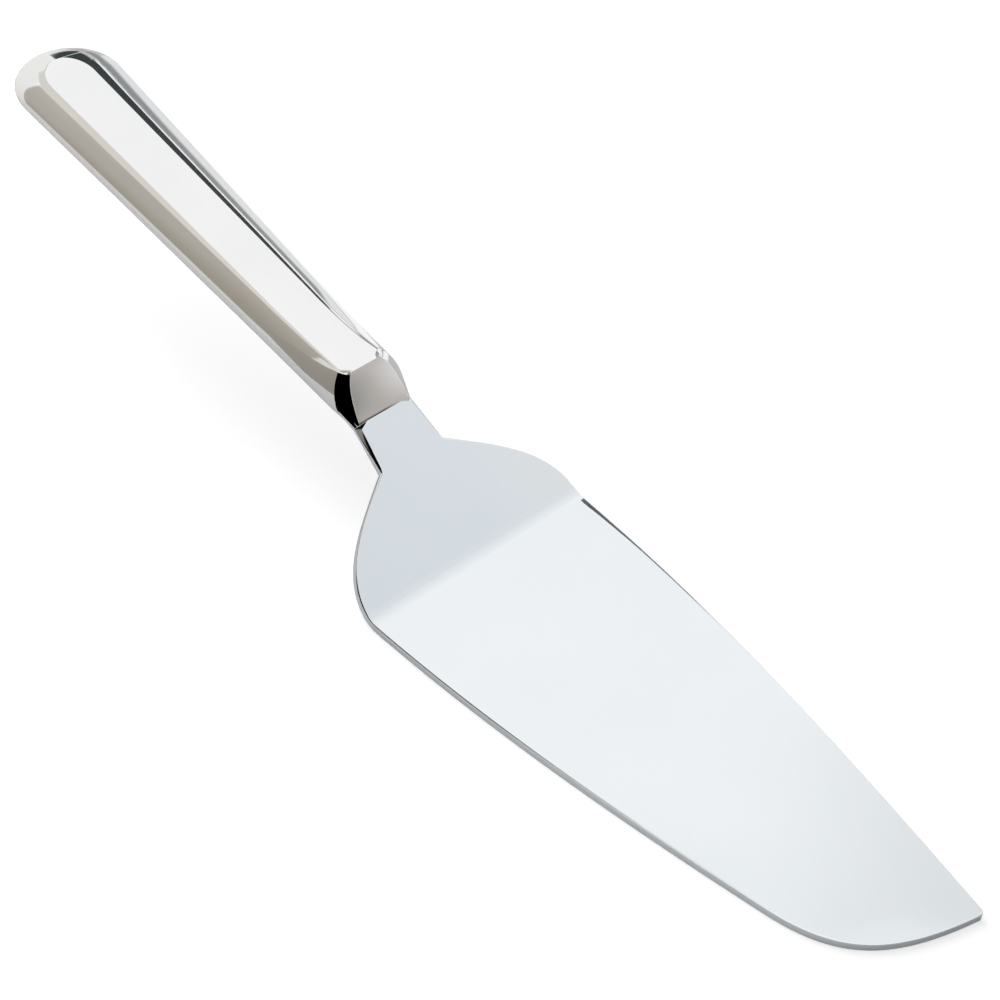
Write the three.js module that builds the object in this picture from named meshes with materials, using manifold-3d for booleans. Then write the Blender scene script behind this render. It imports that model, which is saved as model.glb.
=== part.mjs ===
import * as THREE from 'three';
import { mergeVertices } from 'three/addons/utils/BufferGeometryUtils.js';
import Module from 'manifold-3d';

// Serving spatula of polished stainless steel: a cranked sheet blade whose tang runs through
// a wedge-shaped bolster into a hollow handle pressed in two halves.
// Millimetres, +X towards the tip, +Y to the side that holds the tip, +Z up.
// The blade's underside lies at Z = 0, under the middle of the bounding box.

// Blade sheet
const SHEET_THICKNESS = 2;
const EDGE_BREAK = 0.25;
const BLADE_LENGTH = 119;
const BLADE_WIDTH = 54;
const SIDE_LEAD = 46;
const SIDE_LEAD_DROP = 1.4;
const SIDE_TAIL = 34;
const SIDE_TAIL_SLOPE = 0.19;

// Tip and the curved front edge
const TIP_OFFSET = 11.4;
const TIP_HEADING = 76;
const TIP_LEAD = 18;
const BELLY_LENGTH = 25;
const BELLY_LEAD = 15;

// Crank, shoulder and neck
const SHOULDER_ANGLE = 34;
const CREASE_RADIUS = 7;
const SHOULDER_LENGTH = 24.1;
const SHOULDER_LEAD = 10.5;
const SHOULDER_DIAGONAL = 14;
const SHOULDER_HEADING = 54;
const NECK_LENGTH = 10.3;
const NECK_WIDTH = 15.8;
const NECK_END_WIDTH = 14.4;

// Tang
const TANG_RISE = 3.7;
const TANG_BEND_RADIUS = 8;
const TANG_LENGTH = 24;
const TANG_WIDTH = 9;
const TANG_NOTCH_DEPTH = 1.1;
const TANG_NOTCH_LENGTH = 3;
const TANG_NOTCH_PITCH = 7;
const TANG_NOTCH_COUNT = 2;

// Bolster
const FACE_ANGLE = 58;
const FACE_TOP_WIDTH = 7.4;
const FACE_SWELL_WIDTH = 11.8;
const FACE_SWELL_DROP = 0.3;
const BOLSTER_LAND = 2.4;
const SPIGOT_LENGTH = 4;

// Handle, measured from the rim where its two halves meet
const HANDLE_ANGLE = 10.5;
const HANDLE_LENGTH = 116.2;
const WALL = 0.6;
const HALF_WIDTH_FRONT = 8.35;
const HALF_WIDTH_BUTT = 12.8;
const CROWN_FRONT = 4;
const CROWN_BUTT = 2.3;
const KEEL_FRONT = 4;
const KEEL_BUTT = 4.4;
const FACET_FRONT = 4.05;
const FACET_BUTT = 5.5;
const FACET_ROUND = 8.5;
const BEVEL_FRONT = 0.5;
const BEVEL_BUTT = 2.1;
const BEVEL_ANGLE = 8;
const FLANK_ROUNDNESS = 0.15;
const BUTT_ROUND = 12.5;
const BUTT_BEVEL = 6.6;
const CEMENT_LENGTH = 22;

// Front stretch of the handle: the top lifts, the facet flares and the sections lean forward
const FRONT_LENGTH = 24;
const CROWN_LIFT = 2.4;
const FACET_FLARE = 0.7;
const MOUTH_RAKE = 38;
const MOUTH_TUCK = 1;
const MOUTH_TUCK_LENGTH = 6;

// Clearances
const BRAZE_GAP = 0.1;
const SPIGOT_CLEARANCE = 0.2;
const TANG_CLEARANCE = 0.2;
const CEMENT_CLEARANCE = 0.2;

// Fineness of the faceting
const SIDE_STEPS = 14;
const BELLY_STEPS = 14;
const BEND_STEPS = 6;
const SHOULDER_STEPS = 12;
const ARC_STEPS = 7;
const FRONT_STEPS = 10;
const BODY_STEPS = 8;
const FACET_END_STEPS = 7;
const BUTT_STEPS = 7;
const MERGE_DISTANCE = 1e-4;

const { degToRad, lerp } = THREE.MathUtils;
const wasm = await Module();
wasm.setup();

const steel = (color, roughness) => new THREE.MeshStandardMaterial({ color, roughness, metalness: 1 });
const cementFinish = new THREE.MeshStandardMaterial({ color: 0xb9b3a4, roughness: 0.9, metalness: 0 });

// Evenly spaced values from one number to another, both ends included
const span = (from, to, steps) => Array.from({ length: steps + 1 }, (_, k) => lerp(from, to, k / steps));

// A closed solid through stations that run towards -X. Each station has an upper and a lower row
// of points, both from the -Y side to the +Y side.
function skin(stations) {
  const width = stations[0].upper.length;
  const last = width - 1;
  const end = stations.length - 1;
  const points = stations.flatMap(({ upper, lower }) => [...upper, ...lower]);
  const at = (k, row, j) => (2 * k + row) * width + j;
  const triangles = [];
  const quad = (a, b, c, d) => triangles.push([a, b, c], [a, c, d]);

  for (let k = 0; k < end; k += 1) {
    for (let j = 0; j < last; j += 1) {
      quad(at(k, 0, j), at(k, 0, j + 1), at(k + 1, 0, j + 1), at(k + 1, 0, j));
      quad(at(k, 1, j), at(k + 1, 1, j), at(k + 1, 1, j + 1), at(k, 1, j + 1));
    }
    quad(at(k, 0, 0), at(k + 1, 0, 0), at(k + 1, 1, 0), at(k, 1, 0));
    quad(at(k, 0, last), at(k, 1, last), at(k + 1, 1, last), at(k + 1, 0, last));
  }
  for (let j = 0; j < last; j += 1) {
    quad(at(0, 0, j), at(0, 1, j), at(0, 1, j + 1), at(0, 0, j + 1));
    quad(at(end, 0, j), at(end, 0, j + 1), at(end, 1, j + 1), at(end, 1, j));
  }

  const geometry = new THREE.BufferGeometry().setFromPoints(points);
  geometry.setIndex(triangles.flat());
  return withoutCollapsed(mergeVertices(geometry, MERGE_DISTANCE));
}

// Drops the triangles that lost an edge when coincident points were merged
function withoutCollapsed(geometry) {
  const index = geometry.getIndex().array;
  const kept = [];
  for (let k = 0; k < index.length; k += 3) {
    const [a, b, c] = index.slice(k, k + 3);
    if (a !== b && b !== c && c !== a) kept.push(a, b, c);
  }
  geometry.setIndex(kept);
  return geometry;
}

function toSolid(geometry) {
  return new wasm.Manifold(new wasm.Mesh({
    numProp: 3,
    vertProperties: new Float32Array(geometry.getAttribute('position').array),
    triVerts: new Uint32Array(geometry.getIndex().array),
  }));
}

function toGeometry(solid) {
  const { vertProperties, triVerts } = solid.getMesh();
  const geometry = new THREE.BufferGeometry();
  geometry.setAttribute('position', new THREE.BufferAttribute(vertProperties, 3));
  geometry.setIndex(new THREE.BufferAttribute(triVerts, 1));
  return geometry;
}

function piece(name, geometry, material) {
  const mesh = new THREE.Mesh(geometry, material);
  mesh.name = name;
  return mesh;
}

// Middle line of the sheet, walked backwards from the tip: straight legs and bends in the X-Z plane
function bentLine(start, legs) {
  return (distance) => {
    let { x, z } = start;
    let rise = 0;
    let left = distance;
    for (const { length, radius, turn } of legs) {
      const step = Math.min(left, length);
      if (radius === undefined) {
        x -= step * Math.cos(rise);
        z += step * Math.sin(rise);
      } else {
        const side = Math.sign(turn) * radius;
        const next = rise + step / side;
        x += side * (Math.sin(rise) - Math.sin(next));
        z += side * (Math.cos(rise) - Math.cos(next));
        rise = next;
      }
      left -= step;
    }
    return { x, z, rise };
  };
}

const bend = (radius, degrees) => ({
  radius,
  turn: degToRad(degrees),
  length: radius * Math.abs(degToRad(degrees)),
});

// Distances along the middle line, from the tip
const crease = bend(CREASE_RADIUS + SHEET_THICKNESS / 2, SHOULDER_ANGLE);
const tangBend = bend(TANG_BEND_RADIUS, HANDLE_ANGLE - SHOULDER_ANGLE);
const shoulderEnd = BLADE_LENGTH + SHOULDER_LENGTH;
const neckEnd = shoulderEnd + NECK_LENGTH;
const tangBendStart = neckEnd + TANG_RISE;
const tangStart = tangBendStart + tangBend.length;
const tangEnd = tangStart + TANG_LENGTH;
const middleLine = bentLine({ x: BLADE_LENGTH, z: SHEET_THICKNESS / 2 }, [
  { length: BLADE_LENGTH - crease.length / 2 },
  crease,
  { length: tangBendStart - BLADE_LENGTH - crease.length / 2 },
  tangBend,
  { length: TANG_LENGTH + HANDLE_LENGTH },
]);

// A point of the sheet: distance from the tip, place across it and height above its middle
function onSheet(distance, across, height) {
  const { x, z, rise } = middleLine(distance);
  return new THREE.Vector3(x + height * Math.sin(rise), across, z + height * Math.cos(rise));
}

// One station of the sheet, with its long edges broken
function sheetStation(distance, left, right, thickness, edgeBreak) {
  const half = thickness / 2;
  const inset = Math.min(edgeBreak, (right - left) / 4);
  const row = (side) => [
    onSheet(distance, left, side * (half - inset)),
    onSheet(distance, left + inset, side * half),
    onSheet(distance, right - inset, side * half),
    onSheet(distance, right, side * (half - inset)),
  ];
  return { upper: row(1), lower: row(-1) };
}

// Outline of the flattened blade: distance ahead of the crease against distance from the centre line
const heading = (degrees) => new THREE.Vector2(Math.cos(degToRad(degrees)), Math.sin(degToRad(degrees)));
const tip = new THREE.Vector2(BLADE_LENGTH, TIP_OFFSET);
const sideEdge = new THREE.CubicBezierCurve(
  new THREE.Vector2(0, BLADE_WIDTH / 2),
  new THREE.Vector2(SIDE_LEAD, BLADE_WIDTH / 2 - SIDE_LEAD_DROP),
  new THREE.Vector2(BLADE_LENGTH - SIDE_TAIL, TIP_OFFSET + SIDE_TAIL * SIDE_TAIL_SLOPE),
  tip,
);
const neckCorner = new THREE.Vector2(-SHOULDER_LENGTH, NECK_WIDTH / 2);
const shoulderEdge = new THREE.CubicBezierCurve(
  new THREE.Vector2(0, BLADE_WIDTH / 2),
  new THREE.Vector2(-SHOULDER_LEAD, BLADE_WIDTH / 2),
  neckCorner.clone().addScaledVector(heading(SHOULDER_HEADING), SHOULDER_DIAGONAL),
  neckCorner,
);

// Parameter at which a curve reaches a given distance ahead of the crease
function reach(curve, ahead) {
  const direction = Math.sign(curve.v3.x - curve.v0.x);
  let low = 0;
  let high = 1;
  while (high - low > Number.EPSILON) {
    const middle = (low + high) / 2;
    if ((ahead - curve.getPoint(middle).x) * direction > 0) low = middle;
    else high = middle;
  }
  return high;
}

function halfWidth(ahead) {
  const neckPart = (-ahead - SHOULDER_LENGTH) / NECK_LENGTH;
  if (ahead > 0) return sideEdge.getPoint(reach(sideEdge, ahead)).y;
  if (neckPart < 0) return shoulderEdge.getPoint(reach(shoulderEdge, ahead)).y;
  return lerp(NECK_WIDTH, NECK_END_WIDTH, neckPart) / 2;
}

// The front edge leaves the -Y side tangentially and sweeps across to the tip
function frontEdge() {
  const parameter = reach(sideEdge, BLADE_LENGTH - BELLY_LENGTH);
  const start = sideEdge.getPoint(parameter);
  const lead = sideEdge.getTangent(parameter).multiplyScalar(BELLY_LEAD).add(start);
  return new THREE.CubicBezierCurve(
    new THREE.Vector2(start.x, -start.y),
    new THREE.Vector2(lead.x, -lead.y),
    tip.clone().addScaledVector(heading(TIP_HEADING), -TIP_LEAD),
    tip,
  );
}

// Distance and half width along the tang, with its keying notches
function tangOutline() {
  const half = TANG_WIDTH / 2;
  const outline = span(tangBendStart, tangStart, BEND_STEPS).map((distance) => [distance, half]);
  for (let k = 1; k <= TANG_NOTCH_COUNT; k += 1) {
    const notch = tangStart + k * TANG_NOTCH_PITCH;
    const floor = half - TANG_NOTCH_DEPTH;
    outline.push(
      [notch - TANG_NOTCH_LENGTH / 2 - TANG_NOTCH_DEPTH, half],
      [notch - TANG_NOTCH_LENGTH / 2, floor],
      [notch + TANG_NOTCH_LENGTH / 2, floor],
      [notch + TANG_NOTCH_LENGTH / 2 + TANG_NOTCH_DEPTH, half],
    );
  }
  return [[neckEnd, half], ...outline, [tangEnd, half]];
}

function bladeGeometry() {
  const belly = frontEdge();
  const station = (distance, left, right) =>
    sheetStation(distance, left, right, SHEET_THICKNESS, EDGE_BREAK);
  const front = span(1, 0, BELLY_STEPS).map((parameter) => {
    const { x, y } = belly.getPoint(parameter);
    return station(BLADE_LENGTH - x, y, halfWidth(x));
  });
  const halfCrease = crease.length / 2;
  const rest = [
    ...span(BLADE_LENGTH - BELLY_LENGTH, halfCrease, SIDE_STEPS).slice(1),
    ...span(halfCrease, -halfCrease, BEND_STEPS).slice(1),
    ...span(-halfCrease, -SHOULDER_LENGTH, SHOULDER_STEPS).slice(1),
    -SHOULDER_LENGTH - NECK_LENGTH,
  ].map((ahead) => station(BLADE_LENGTH - ahead, -halfWidth(ahead), halfWidth(ahead)));
  const tang = tangOutline().map(([distance, half]) => station(distance, -half, half));
  return skin([...front, ...rest, ...tang]);
}

// Room for the tang, from the neck to past its end
function tangRoom() {
  const thickness = SHEET_THICKNESS + 2 * TANG_CLEARANCE;
  const outline = [...tangOutline(), [tangEnd + TANG_CLEARANCE, TANG_WIDTH / 2]];
  return skin(outline.map(([distance, tangHalf]) => {
    const half = tangHalf + TANG_CLEARANCE;
    return sheetStation(distance, -half, half, thickness, EDGE_BREAK);
  }));
}

// A row completed with its mirror image across the centre line
const mirrored = (flank) => [...flank, ...flank.map(({ x, y, z }) => new THREE.Vector3(x, -y, z)).reverse()];

// The handle's own frame: origin where the tang straightens, X along the rim towards the blade
const root = middleLine(tangStart);
const handle = new THREE.Group();
handle.position.set(root.x, 0, root.z);
handle.rotation.y = degToRad(HANDLE_ANGLE);
handle.updateMatrix();
const toHandle = handle.matrix.clone().invert();

// Foot of the bolster's front face, and the top edge that the face climbs to
const foot = onSheet(neckEnd + BRAZE_GAP, 0, SHEET_THICKNESS / 2).applyMatrix4(toHandle);
const heel = onSheet(neckEnd + BRAZE_GAP, 0, -SHEET_THICKNESS / 2).applyMatrix4(toHandle);
const brow = { z: CROWN_FRONT + CROWN_LIFT };
brow.x = foot.x - (brow.z - foot.z) / Math.tan(degToRad(FACE_ANGLE - HANDLE_ANGLE));

// Share of a stretch before an end that is still to come
const still = (distance, end, stretch) => THREE.MathUtils.clamp((end - distance) / stretch, 0, 1);

// Rounded fall from 1 to 0 over the last stretch before an end
const roundOff = (distance, end, stretch) => Math.sqrt(1 - (1 - still(distance, end, stretch)) ** 2);

// Section of the handle at a distance behind the brow, drawn in by an inset
function handleSection(behind, inset) {
  const along = behind / HANDLE_LENGTH;
  const lift = Math.max(0, 1 - behind / FRONT_LENGTH) ** 2;
  const tuck = MOUTH_TUCK * (1 - roundOff(-behind, 0, MOUTH_TUCK_LENGTH));
  const full = lerp(HALF_WIDTH_FRONT, HALF_WIDTH_BUTT, along) - tuck;
  const facet = lerp(FACET_FRONT, FACET_BUTT, along) + FACET_FLARE * lift;
  const crown = lerp(CROWN_FRONT, CROWN_BUTT, along) + CROWN_LIFT * lift;
  const flatEnd = (1 - inset / full) * roundOff(behind, HANDLE_LENGTH - BUTT_BEVEL, FACET_ROUND);
  return {
    half: (full - inset) * roundOff(behind, HANDLE_LENGTH, BUTT_ROUND),
    crown: (crown - inset) * Math.sqrt(still(behind, HANDLE_LENGTH, BUTT_BEVEL)),
    keel: (lerp(KEEL_FRONT, KEEL_BUTT, along) - inset) * roundOff(behind, HANDLE_LENGTH, BUTT_BEVEL),
    facet: facet * flatEnd,
    bevel: lerp(BEVEL_FRONT, BEVEL_BUTT, along) * flatEnd,
  };
}

// Half a section, over the top or under the keel: a flat facet with a bevel and a rounded flank
// on each side
function handleRow(behind, inset, side) {
  const { half, crown, keel, facet, bevel } = handleSection(behind, inset);
  const height = side > 0 ? crown : keel;
  const shoulder = height - bevel * Math.tan(degToRad(BEVEL_ANGLE));
  const rake = Math.tan(degToRad(MOUTH_RAKE)) * Math.max(0, 1 - behind / FRONT_LENGTH);
  const shortened = (behind * (HANDLE_LENGTH - inset)) / HANDLE_LENGTH;
  const point = (across, up) =>
    new THREE.Vector3(brow.x - shortened + rake * (brow.z - side * up), -across, side * up);
  const flank = span(Math.PI / 2, 0, ARC_STEPS).map((angle) => {
    const out = Math.sin(angle);
    const up = shoulder * Math.sqrt((1 - out) * (1 + FLANK_ROUNDNESS * out));
    return point(lerp(facet + bevel, half, out), up);
  });
  return mirrored([...flank, point(facet, height)]);
}

const handleStation = (behind, inset) => ({
  upper: handleRow(behind, inset, 1),
  lower: handleRow(behind, inset, -1),
});

// Distances behind the brow that the two shells pass through
function shellStations() {
  const mouth = BOLSTER_LAND + BRAZE_GAP;
  const flatEnd = HANDLE_LENGTH - BUTT_BEVEL;
  const arc = (end, stretch, steps) =>
    span(0, Math.PI / 2, steps).map((angle) => end - stretch * (1 - Math.sin(angle)));
  return [
    ...span(mouth, FRONT_LENGTH, FRONT_STEPS),
    ...span(FRONT_LENGTH, flatEnd - FACET_ROUND, BODY_STEPS).slice(1),
    ...arc(flatEnd, FACET_ROUND, FACET_END_STEPS).slice(1),
    ...arc(HANDLE_LENGTH, BUTT_BEVEL, BUTT_STEPS).slice(1),
  ];
}

function shellGeometry(side) {
  return skin(shellStations().map((behind) => {
    const outer = handleRow(behind, 0, side);
    const inner = handleRow(behind, WALL, side);
    return side > 0 ? { upper: outer, lower: inner } : { upper: inner, lower: outer };
  }));
}

// Arched outline of the bolster's front face, from the foot over the brow and down again
function faceRow() {
  const arch = new THREE.QuadraticBezierCurve(
    new THREE.Vector2(1, NECK_END_WIDTH / 2),
    new THREE.Vector2(FACE_SWELL_DROP, FACE_SWELL_WIDTH / 2),
    new THREE.Vector2(0, FACE_TOP_WIDTH / 2),
  );
  return mirrored(arch.getPoints(ARC_STEPS + 1).map(({ x: down, y: half }) =>
    new THREE.Vector3(lerp(brow.x, foot.x, down), -half, lerp(brow.z, foot.z, down))));
}

function bolsterGeometry() {
  const face = faceRow();
  const mouth = handleStation(BOLSTER_LAND, 0);
  const narrowing = NECK_END_WIDTH / 2 / mouth.lower.at(-1).y;
  const noseRow = ({ x, z }) => mouth.lower.map(({ y }) => new THREE.Vector3(x, y * narrowing, z));
  const spigotInset = WALL + SPIGOT_CLEARANCE;
  const body = skin([
    { upper: face, lower: noseRow(foot) },
    { upper: face, lower: noseRow(heel) },
    mouth,
    handleStation(BOLSTER_LAND, spigotInset),
    handleStation(BOLSTER_LAND + SPIGOT_LENGTH, spigotInset),
  ]);
  const slot = tangRoom().applyMatrix4(toHandle);
  return toGeometry(toSolid(body).subtract(toSolid(slot)));
}

function cementGeometry() {
  const front = BOLSTER_LAND + SPIGOT_LENGTH + CEMENT_CLEARANCE;
  const inset = WALL + CEMENT_CLEARANCE;
  const stations = span(front, front + CEMENT_LENGTH, FRONT_STEPS);
  const block = skin(stations.map((behind) => handleStation(behind, inset)));
  const pocket = tangRoom().applyMatrix4(toHandle);
  return toGeometry(toSolid(block).subtract(toSolid(pocket)));
}

const upperShell = piece('handle_upper_shell', shellGeometry(1), steel(0xdde1e2, 0.08));
const lowerShell = piece('handle_lower_shell', shellGeometry(-1), steel(0xd6d8d6, 0.08));
upperShell.position.z = BRAZE_GAP / 2;
lowerShell.position.z = -BRAZE_GAP / 2;
handle.add(
  piece('bolster', bolsterGeometry(), steel(0xc4c0bc, 0.1)),
  upperShell,
  lowerShell,
  piece('handle_cement', cementGeometry(), cementFinish),
);

const spatula = new THREE.Group();
spatula.add(piece('blade', bladeGeometry(), steel(0xdfe3e8, 0.16)), handle);

// The origin lies under the middle of the whole length
const extent = new THREE.Box3().setFromObject(spatula, true);
spatula.position.x = -(extent.min.x + extent.max.x) / 2;

export default spatula;
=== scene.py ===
import math

import bmesh
import bpy
import numpy as np
from mathutils import Matrix, Vector


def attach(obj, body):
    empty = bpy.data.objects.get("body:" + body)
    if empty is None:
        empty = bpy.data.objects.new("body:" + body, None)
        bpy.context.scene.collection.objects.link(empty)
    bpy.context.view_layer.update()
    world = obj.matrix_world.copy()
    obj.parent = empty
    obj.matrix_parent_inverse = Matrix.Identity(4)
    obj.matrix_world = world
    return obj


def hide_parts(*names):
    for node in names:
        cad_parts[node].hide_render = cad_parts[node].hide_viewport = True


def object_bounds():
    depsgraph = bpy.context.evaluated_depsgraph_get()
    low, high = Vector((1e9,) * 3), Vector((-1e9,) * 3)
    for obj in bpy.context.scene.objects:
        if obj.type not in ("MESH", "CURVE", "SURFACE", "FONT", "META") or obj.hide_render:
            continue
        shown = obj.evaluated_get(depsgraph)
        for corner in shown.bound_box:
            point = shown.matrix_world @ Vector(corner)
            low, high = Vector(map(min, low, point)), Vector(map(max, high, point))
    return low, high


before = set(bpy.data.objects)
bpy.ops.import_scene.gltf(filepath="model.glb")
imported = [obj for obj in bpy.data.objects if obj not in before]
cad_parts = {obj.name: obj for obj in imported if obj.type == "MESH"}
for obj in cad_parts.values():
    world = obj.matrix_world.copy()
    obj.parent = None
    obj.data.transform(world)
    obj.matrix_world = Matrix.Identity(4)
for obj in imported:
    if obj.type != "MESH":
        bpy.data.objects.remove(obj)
cad_low, cad_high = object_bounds()

MM = 0.001

# Blade sheet, in millimetres and degrees
SHEET = 2.0
EDGE_RADIUS = 0.22
BLADE_LENGTH, BLADE_WIDTH = 119.0, 54.0
SIDE_LEAD, SIDE_LEAD_DROP = 46.0, 1.4
SIDE_TAIL, SIDE_TAIL_SLOPE = 34.0, 0.19
TIP_OFFSET, TIP_HEADING, TIP_LEAD = 11.4, 76.0, 18.0
TIP_RADIUS = 0.9
BELLY_LENGTH, BELLY_LEAD = 25.0, 15.0
SHOULDER_ANGLE = 34.0
CREASE_RADIUS = 7.0
SHOULDER_LENGTH, SHOULDER_LEAD = 24.1, 10.5
SHOULDER_DIAGONAL, SHOULDER_HEADING = 14.0, 54.0
NECK_LENGTH, NECK_WIDTH, NECK_END_WIDTH = 10.3, 15.8, 14.4
# Chamfer of the neck's upper edges, which opens behind this share of the shoulder
NECK_CHAMFER, NECK_CHAMFER_DROP = 0.9, 1.3
CHAMFER_START = 0.8
# Shallow grind along the upper right edge: distance ahead of the crease, width, fall in degrees
EDGE_GRIND = [
    (0.6, 0.0, 3.4), (2.6, 1.0, 3.4), (9.0, 0.72, 3.6), (18.0, 0.41, 4.0), (25.0, 0.31, 4.3),
    (50.0, 0.2, 5.0), (58.0, 0.0, 5.0),
]
NO_GRIND = [(0.0, 0.0, 0.0)]
# Share of the grind's width over which its borders turn
GRIND_SOFT_SHARE = 0.25

# Tang
TANG_RISE, TANG_BEND_RADIUS = 3.7, 8.0
TANG_LENGTH, TANG_WIDTH = 24.0, 9.0
NOTCH_DEPTH, NOTCH_LENGTH, NOTCH_PITCH, NOTCH_COUNT = 1.1, 3.0, 7.0, 2

# Bolster
FACE_ANGLE = 58.0
FACE_TOP_WIDTH, FACE_SWELL_WIDTH, FACE_SWELL_DROP = 7.4, 11.8, 0.3
FACE_DOME = 0.2
BOLSTER_LAND, SPIGOT_LENGTH, SPIGOT_CLEARANCE = 2.4, 4.0, 0.2
BRAZE_GAP = 0.1

# Handle
HANDLE_ANGLE, HANDLE_LENGTH, WALL = 10.5, 116.2, 0.6
HALF_WIDTH_FRONT, HALF_WIDTH_BUTT = 8.35, 12.8
CROWN_FRONT, CROWN_BUTT = 4.0, 2.3
KEEL_FRONT, KEEL_BUTT = 4.0, 4.4
FACET_FRONT, FACET_BUTT, FACET_ROUND = 4.05, 5.5, 7.5
BEVEL_FRONT, BEVEL_BUTT, BEVEL_ANGLE = 0.5, 2.1, 8.0
FLANK_ROUNDNESS = 0.15
BUTT_ROUND, BUTT_BEVEL = 12.5, 5.4
FRONT_LENGTH, CROWN_LIFT, FACET_FLARE = 24.0, 2.4, 0.7
MOUTH_RAKE, MOUTH_TUCK, MOUTH_TUCK_LENGTH = 38.0, 1.0, 6.0

# Half width of the strip over which a polished edge turns from one face to the next
EDGE_SOFTNESS = 0.12
# Points of such a strip on each side of its edge, and the least width of a face, in half widths
STRIP = np.array([1, 2])
STRIP_ROOM = 4.5
# Edges that turn by more than this many degrees are shaded as sharp
SHARP_ANGLE = 38.0

# Fineness of the meshes
EDGE_STEPS, TIP_STEPS, SIDE_STEPS, BLADE_COLUMNS = 7, 10, 110, 15
CREASE_STEPS, SHOULDER_STEPS, NECK_STEPS, TANG_BEND_STEPS = 9, 60, 8, 9
FLANK_STEPS, BEVEL_STEPS, FACET_STEPS = 26, 3, 6
FRONT_STEPS, BODY_STEPS, BUTT_STEPS = 48, 26, 40
FACE_RINGS, BOLSTER_STEPS = 10, 9
PANEL_STEPS = 24
CURVE_POINTS, CURVE_STEP, SEARCH_ROUNDS = 2400, 1e-4, 60
STATION_DIGITS = 5
TINY = 1e-9
# Points closer than this many metres are one
WELD_DISTANCE = 2e-7
# Least cosine by which a corner's normal is lengthened
LEAST_MITRE = 0.5


def lerp(a, b, t):
    return a + (b - a) * t


def unit(vectors):
    return vectors / np.maximum(np.linalg.norm(vectors, axis=-1, keepdims=True), TINY)


def heading(degrees):
    return np.array([math.cos(math.radians(degrees)), math.sin(math.radians(degrees))])


def bezier(points, t):
    """Points of a Bezier curve at the parameters t."""
    points = [np.asarray(p, float) for p in points]
    t = np.atleast_1d(np.asarray(t, float))[:, None]
    while len(points) > 1:
        points = [lerp(a, b, t) for a, b in zip(points, points[1:])]
    return points[0]


# Middle line of the sheet, walked back from the tip
crease_bend = (CREASE_RADIUS + SHEET / 2) * math.radians(SHOULDER_ANGLE)
tang_bend = TANG_BEND_RADIUS * math.radians(SHOULDER_ANGLE - HANDLE_ANGLE)
neck_end = BLADE_LENGTH + SHOULDER_LENGTH + NECK_LENGTH
tang_bend_start = neck_end + TANG_RISE
tang_start = tang_bend_start + tang_bend
tang_end = tang_start + TANG_LENGTH
LEGS = [
    (BLADE_LENGTH - crease_bend / 2, None),
    (crease_bend, CREASE_RADIUS + SHEET / 2),
    (tang_bend_start - BLADE_LENGTH - crease_bend / 2, None),
    (tang_bend, -TANG_BEND_RADIUS),
    (TANG_LENGTH + HANDLE_LENGTH, None),
]


def middle_line(distance):
    """Place and rise of the middle line at a distance behind the tip."""
    x, z, rise, left = BLADE_LENGTH, SHEET / 2, 0.0, distance
    for length, radius in LEGS:
        step = min(left, length)
        if radius is None:
            x -= step * math.cos(rise)
            z += step * math.sin(rise)
        else:
            turned = rise + step / radius
            x += radius * (math.sin(rise) - math.sin(turned))
            z += radius * (math.cos(rise) - math.cos(turned))
            rise = turned
        left -= step
    return x, z, rise


def on_sheet(points):
    """Bends points (ahead of the crease, across, above the middle) to their place."""
    out = np.empty_like(points)
    for k, (ahead, across, height) in enumerate(points):
        x, z, rise = middle_line(BLADE_LENGTH - ahead)
        out[k] = x + height * math.sin(rise), across, z + height * math.cos(rise)
    return out


# Handle's own frame: origin where the tang straightens, X along the rim
root_x, root_z, root_rise = middle_line(tang_start)
handle_turn = np.array([
    [math.cos(root_rise), 0, math.sin(root_rise)],
    [0, 1, 0],
    [-math.sin(root_rise), 0, math.cos(root_rise)],
])
handle_origin = np.array([root_x, 0, root_z])


def from_handle(points):
    return points @ handle_turn.T + handle_origin


def to_handle(points):
    return (points - handle_origin) @ handle_turn


# Foot, heel and brow of the bolster, in the handle's frame
foot, heel = to_handle(on_sheet(np.array([
    [BLADE_LENGTH - neck_end - BRAZE_GAP, 0, SHEET / 2],
    [BLADE_LENGTH - neck_end - BRAZE_GAP, 0, -SHEET / 2],
])))
brow_z = CROWN_FRONT + CROWN_LIFT
brow_x = foot[0] - (brow_z - foot[2]) / math.tan(math.radians(FACE_ANGLE - HANDLE_ANGLE))
brow = np.array([brow_x, 0, brow_z])

# The CAD frame has its origin under the middle of the whole length
row_shift = cad_high.x / MM - BLADE_LENGTH


def to_row(points):
    """Millimetres of the model to metres of the row frame."""
    return (np.asarray(points) + [row_shift, 0, 0]) * MM


# Meshes
def make_object(name, points, faces):
    mesh = bpy.data.meshes.new(name)
    mesh.from_pydata([tuple(p) for p in points], [], faces)
    mesh.validate()
    obj = bpy.data.objects.new(name, mesh)
    bpy.context.scene.collection.objects.link(obj)
    return obj


def weld(obj):
    """Merges coincident points, drops collapsed faces, turns the faces outwards."""
    made = bmesh.new()
    made.from_mesh(obj.data)
    bmesh.ops.remove_doubles(made, verts=made.verts, dist=WELD_DISTANCE)
    bmesh.ops.dissolve_degenerate(made, edges=made.edges, dist=WELD_DISTANCE)
    bmesh.ops.recalc_face_normals(made, faces=made.faces)
    for face in made.faces:
        face.smooth = True
    made.to_mesh(obj.data)
    made.free()
    obj.data.set_sharp_from_angle(angle=math.radians(SHARP_ANGLE))


def solid(name, points, faces):
    """A closed piece from points in millimetres."""
    obj = make_object(name, to_row(points), faces)
    weld(obj)
    return obj


def grid_faces(rows, columns, wrap=False):
    faces = []
    for k in range(rows - 1):
        a, b = k * columns, (k + 1) * columns
        for j in range(columns if wrap else columns - 1):
            n = (j + 1) % columns
            faces.append((a + j, a + n, b + n, b + j))
    return faces


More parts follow.
